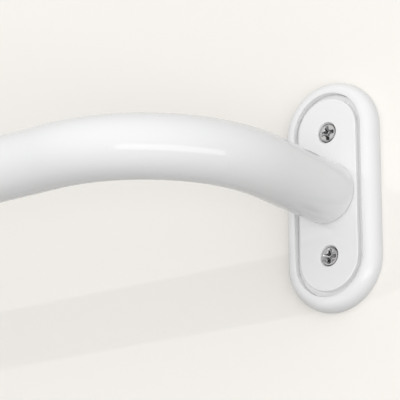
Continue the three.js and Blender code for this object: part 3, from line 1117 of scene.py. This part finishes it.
def round_the_tube(piece, line, radius, bore):
    """Sets each normal on the two round walls, and keeps the drawing: round, along and off."""
    mesh = piece.data
    found = [middle_of(line, vertex.co) for vertex in mesh.vertices]
    away = [vertex.co - near for vertex, (near, _) in zip(mesh.vertices, found)]
    drawn = mesh.attributes.new("drawn", "FLOAT_VECTOR", "POINT")
    for kept, off, (_, along) in zip(drawn.data, away, found):
        kept.vector = (off.x + off.y, off.z, along)
    normals = [corner.vector.copy() for corner in mesh.corner_normals]
    for face in mesh.polygons:
        for corner in face.loop_indices:
            off = away[mesh.loops[corner].vertex_index]
            lean = face.normal.dot(off.normalized())
            on_wall = min(abs(off.length - radius), abs(off.length - bore)) < 0.02 * MM
            if on_wall and abs(lean) > 0.985:
                normals[corner] = off.normalized() * math.copysign(1, lean)
            elif abs(lean) < 0.3 and abs(off.z) > 0.5 * bore and off.length < radius + 0.1 * MM:
                normals[corner] = face.normal.copy()
    mesh.normals_split_custom_set(normals)


print("the key's hole is", round(2 * KEY_RADIUS / MM, 1), "mm wide")

# %% The two tubes
right_line = tube_line(RIGHT_X, 1, outer_low.x)
left_line = tube_line(LEFT_X, -1, inner_high.x)
right_tube = bent_tube("right_tube", "outer_rod", right_line, OUTER_RADIUS, RIGHT_X)
left_tube = bent_tube("left_tube", "inner_rod", left_line, INNER_RADIUS, LEFT_X)
for made in (right_tube, left_tube):
    print(made.name, "has", len(made.data.polygons), "faces")

# %% [markdown]
# ## The collar and the guide
#
# The right tube's cut end would scratch the enamel of the one inside it, so it wears a plastic
# collar. Inside, where it never shows, the left tube ends in a split plug that keeps it in the
# middle. Both are turned shapes. The plug's slits let its fingers spring.

# %% The collar
collar_low, collar_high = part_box("mouth_collar")
collar_radius = (collar_high.z - collar_low.z) / 2
mouth = outer_low.x
grip, tip = mouth - collar_high.x, mouth - collar_low.x
corners = [
    (OUTER_RADIUS + GAP, grip + 2 * MM, 0),
    (OUTER_RADIUS + GAP, grip, 0.15 * MM),
    (collar_radius - 0.1 * MM, grip, 0.6 * MM),
    (collar_radius, grip + 4 * MM, 3 * MM),
    (collar_radius, tip, 0.9 * MM),
    (INNER_RADIUS + GAP, tip, 0.35 * MM),
    (INNER_RADIUS + GAP, GAP, 0.1 * MM),
    (OUTER_RADIUS + GAP, GAP, 0.1 * MM),
    (OUTER_RADIUS + GAP, grip + 2.2 * MM, 0),
]
collar = turned("tube_collar", rounded(corners, 6), 96, loop=True)
shade(collar)
deliver(collar, "mouth_collar", collar_plastic, on_run(mouth))
print("the collar is", round((tip - grip) / MM, 1), "mm long")

# %% The guide
guide_low, guide_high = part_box("inner_rod_guide")
guide_radius = (guide_high.z - guide_low.z) / 2
inner_end = inner_high.x
plug_radius = INNER_RADIUS - TUBE_WALL - GAP
head_low, plug_high = inner_end - guide_high.x, inner_end - guide_low.x
corners = [
    (plug_radius - 2 * MM, head_low + 4 * MM, 0),
    (plug_radius - 2 * MM, head_low, 0.4 * MM),
    (guide_radius - 0.6 * MM, head_low, 0.3 * MM),
    (guide_radius, head_low + 1.2 * MM, 0.8 * MM),
    (guide_radius, -GAP, 0.4 * MM),
    (plug_radius, -GAP, 0.15 * MM),
    (plug_radius, plug_high - 1 * MM, 0.5 * MM),
    (plug_radius - 0.5 * MM, plug_high, 0.2 * MM),
    (plug_radius - 2 * MM, plug_high, 0.2 * MM),
    (plug_radius - 2 * MM, head_low + 4.5 * MM, 0),
]
guide = turned("tube_guide", rounded(corners, 5), 64, loop=True)
slit_half, slit_foot, slit_top = 0.8 * MM, head_low - 1 * MM, head_low + 12 * MM
slit = [(-slit_half, slit_foot), (slit_half, slit_foot), (slit_half, slit_top), (-slit_half, slit_top)]
slits = [bar("slit", slit, 20 * MM) for _ in range(2)]
slits[1].data.transform(Matrix.Rotation(math.pi / 2, 4, "Z"))
carve(guide, slits)
shade(guide)
deliver(guide, "inner_rod_guide", guide_nylon, on_run(inner_end))
print("the guide is", round((plug_high - head_low) / MM, 1), "mm long")

# %% [markdown]
# ## The wall and the floor
#
# The rod hangs on a pale plaster wall, and a pale floor lies well below it. Both are stage, not
# part of the object. They can be seen from their front only: from behind, Geometry's Backfacing
# makes them clear, so that the anchors can be looked at from inside the wall. The plates' backs lie
# on the wall, so it is also clear to a ray that has gone less than a millimetre.
#
# A wall this pale would light up the side of the rod that faces it. The eye, a gloss and a glass
# see its true colour, and to all other rays it is a middle grey. The floor gets most of its
# brightness from a faint glow of its own, which only those same three kinds of ray see.

# %% A one-sided surface
def seen_directly(tree):
    """1 for the eye, in gloss and through glass, and 0 for other rays. Also the ray's length."""
    seen = tree.nodes.new("ShaderNodeLightPath").outputs
    direct = maths(tree, "MAXIMUM", seen["Is Camera Ray"], seen["Is Glossy Ray"])
    return maths(tree, "MAXIMUM", direct, seen["Is Transmission Ray"]), seen["Ray Length"]


BOUNCE = 0.4
TOUCHING = 0.6 * MM


def stage_finish(name, colour, grain, glow=0.0):
    finish, tree, shader, place = new_finish(name)
    surface = use(tree, fine_skin, place=place, grain=grain, patches=2.0)
    pale = mixed(tree, surface["Patch"], colour, scaled(colour, 0.992))
    direct, gone = seen_directly(tree)
    tree.links.new(mixed(tree, direct, grey(BOUNCE * colour[1]), pale), shader.inputs["Base Color"])
    tree.links.new(pale, shader.inputs["Emission Color"])
    tree.links.new(times(tree, direct, glow), shader.inputs["Emission Strength"])
    shader.inputs["Roughness"].default_value = 0.85
    shader.inputs["Specular IOR Level"].default_value = 0.1
    bump(tree, shader, surface["Height"], 0.05 * MM)
    behind = tree.nodes.new("ShaderNodeNewGeometry").outputs["Backfacing"]
    behind = maths(tree, "MAXIMUM", behind, maths(tree, "LESS_THAN", gone, TOUCHING))
    clear = tree.nodes.new("ShaderNodeBsdfTransparent").outputs[0]
    both = wire(tree, "ShaderNodeMixShader", {0: behind, 1: shader.outputs[0], 2: clear})
    tree.links.new(both.outputs[0], tree.nodes["Material Output"].inputs["Surface"])
    return finish


def stage_sheet(name, corner, over, up, finish):
    """One flat face. over and up are its lower and left sides, as seen from the side that shows."""
    corner, over, up = Vector(corner), Vector(over), Vector(up)
    mesh = bpy.data.meshes.new(name)
    mesh.from_pydata([corner, corner + over, corner + over + up, corner + up], [], [range(4)])
    mesh.materials.append(finish)
    into_scene(name, mesh)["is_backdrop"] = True


print("the stage sends back", BOUNCE, "of its light to the object")

# %% The wall and the floor in place
WALL_COLOUR = shade_of(0.915, 0.888, 0.846)
FLOOR_COLOUR = shade_of(0.84, 0.82, 0.79)
WALL_Y = 0.15 * MM
FLOOR_Z = -2.1
WALL_REACH = 12.0
FLOOR_REACH = 1.8
across = (2 * WALL_REACH, 0, 0)
plaster = stage_finish("pale plaster", WALL_COLOUR, 300.0)
stage_sheet("wall", (-WALL_REACH, WALL_Y, FLOOR_Z), across, (0, 0, WALL_REACH - FLOOR_Z), plaster)
boards = stage_finish("pale floor", FLOOR_COLOUR, 80.0, glow=0.6)
depth = (0, FLOOR_REACH + WALL_Y, 0)
stage_sheet("floor", (-WALL_REACH, -FLOOR_REACH, FLOOR_Z), across, depth, boards)
print("the wall's surface is", round(WALL_Y / MM, 2), "mm behind the plates")

# %% [markdown]
# ## Light
#
# White enamel shows its shape only by what it reflects and by how its light falls off. Most of the
# light is a broad bright side of the sky, in front of the bracket and a little to the right. A long
# softbox low on the right lights the leg's near side and puts a streak on the bend. A small, hard
# lamp, far off on the upper left, is weak, and makes the sharp edges of the rod's shadow on the
# wall. The rest of the sky is dim and darkest below, which leaves the tube's underside grey. What
# the eye and the gloss see behind everything is one even pale tone.

# %% Lamps
def add_lamp(name, kind, place, power):
    """Every lamp looks at the bracket."""
    data = bpy.data.lights.new(name, kind)
    data.energy = power
    lamp = into_scene(name, data)
    lamp.location = place
    lamp.rotation_euler = (-Vector(place)).to_track_quat("-Z", "Y").to_euler()
    lamp.visible_camera = False
    return lamp


def softbox(name, turn, lift, away, width, height, glow):
    """turn and lift are degrees to the right and up, seen from the bracket. glow is its radiance."""
    turn, lift = math.radians(turn), math.radians(lift)
    way = Vector((math.sin(turn) * math.cos(lift), -math.cos(turn) * math.cos(lift), math.sin(lift)))
    lamp = add_lamp(name, "AREA", way * away, math.pi * width * height * glow)
    lamp.data.shape = "RECTANGLE"
    lamp.data.size = width
    lamp.data.size_y = height
    return lamp


softbox("low softbox", 52, -22, 3.0, 4.0, 1.0, 1.95)
window = add_lamp("far window", "SUN", (-0.48, -1.0, 0.306), 0.19)
window.data.angle = math.radians(0.45)
window.visible_glossy = False

# %% The sky
world = bpy.data.worlds.new("sky")
bpy.context.scene.world = world
world.use_nodes = True
tree = world.node_tree
direction = tree.nodes.new("ShaderNodeTexCoord").outputs["Generated"]
parts = wire(tree, "ShaderNodeSeparateXYZ", {0: direction}).outputs
BRIGHT_SIDE = Vector((0.42, -0.9, -0.12)).normalized()
UNDER, OVER, BRIGHT, INDOORS = grey(0.03), grey(0.42), grey(0.96), grey(0.62)
BACKDROP = shade_of(0.677, 0.665, 0.645)
STRENGTH = 1.31

sky = mixed(tree, ramp(tree, parts["Z"], -0.4, 0.4), UNDER, OVER)
feeds = {0: direction, 1: BRIGHT_SIDE}
towards = wire(tree, "ShaderNodeVectorMath", feeds, operation="DOT_PRODUCT").outputs["Value"]
sky = mixed(tree, ramp(tree, towards, 0.05, 0.97), sky, BRIGHT)
sky = mixed(tree, ramp(tree, parts["Y"], 0.0, 0.3), sky, INDOORS)
sky = mixed(tree, seen_directly(tree)[0], sky, BACKDROP)
tree.links.new(sky, tree.nodes["Background"].inputs["Color"])
tree.nodes["Background"].inputs["Strength"].default_value = STRENGTH
bpy.context.scene.view_settings.view_transform = "Standard"
print("the sky is brightest towards", [round(part, 2) for part in BRIGHT_SIDE])

# %% [markdown]
# ## Finish
#
# The size of what was made is put beside the size of the frame, and the made size is printed.

# %% Gather the sizes and finish
made_low, made_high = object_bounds()
sizes = {
    "frame": [list(frame_low), list(frame_high)],
    "made": [list(made_low), list(made_high)],
}
print("made, mm:", [round(side / MM, 1) for side in made_high - made_low])
